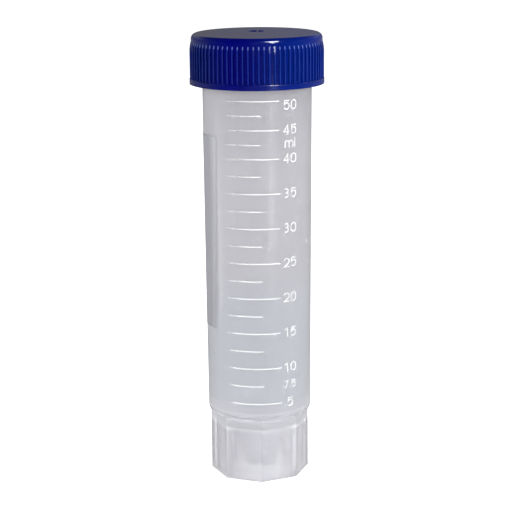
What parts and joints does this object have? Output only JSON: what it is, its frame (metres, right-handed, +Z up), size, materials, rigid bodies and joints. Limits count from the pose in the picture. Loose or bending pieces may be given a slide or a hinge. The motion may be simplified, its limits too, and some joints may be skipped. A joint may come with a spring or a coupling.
{
  "type": "self-standing 50 ml conical tube",
  "caption": "Self-standing laboratory tube with an inside cone, an eight-sided support skirt, a printed volume scale and a ribbed screw cap.",
  "frame": {"origin": "middle of the skirt's resting face, on the tube's axis", "axes": "+Z up the tube's axis to the cap, -Y towards the middle of the printed scale"},
  "size_m": [0.0352, 0.0352, 0.1185],
  "materials": {
    "tube_plastic": "translucent moulded polypropylene, satin",
    "white_ink": "printed ink",
    "panel_ink": "matt printed ink",
    "liner_foam": "soft polyethylene",
    "cap_plastic": "satin moulded polyethylene"
  },
  "bodies": {
    "tube": {"tube": "tube_plastic", "graduation_lines": "white_ink", "graduation_numerals": "white_ink", "writing_panel": "panel_ink"},
    "liner": {"seal_liner": "liner_foam"},
    "cap": {"cap": "cap_plastic"}
  },
  "joints": [
    {"name": "cap_rise", "type": "slide", "parent": "tube", "child": "liner", "axis": [0, 0, 1], "range_m": [0, 0.00438]},
    {"name": "cap_turn", "type": "hinge", "parent": "liner", "child": "cap", "pos_m": [0, 0, 0.1055], "axis": [0, 0, 1], "range_deg": [0, 450]}
  ],
  "couplings": [
    {"joint": "cap_rise", "follows": "cap_turn", "m_per_rad": 0.00055704}
  ]
}
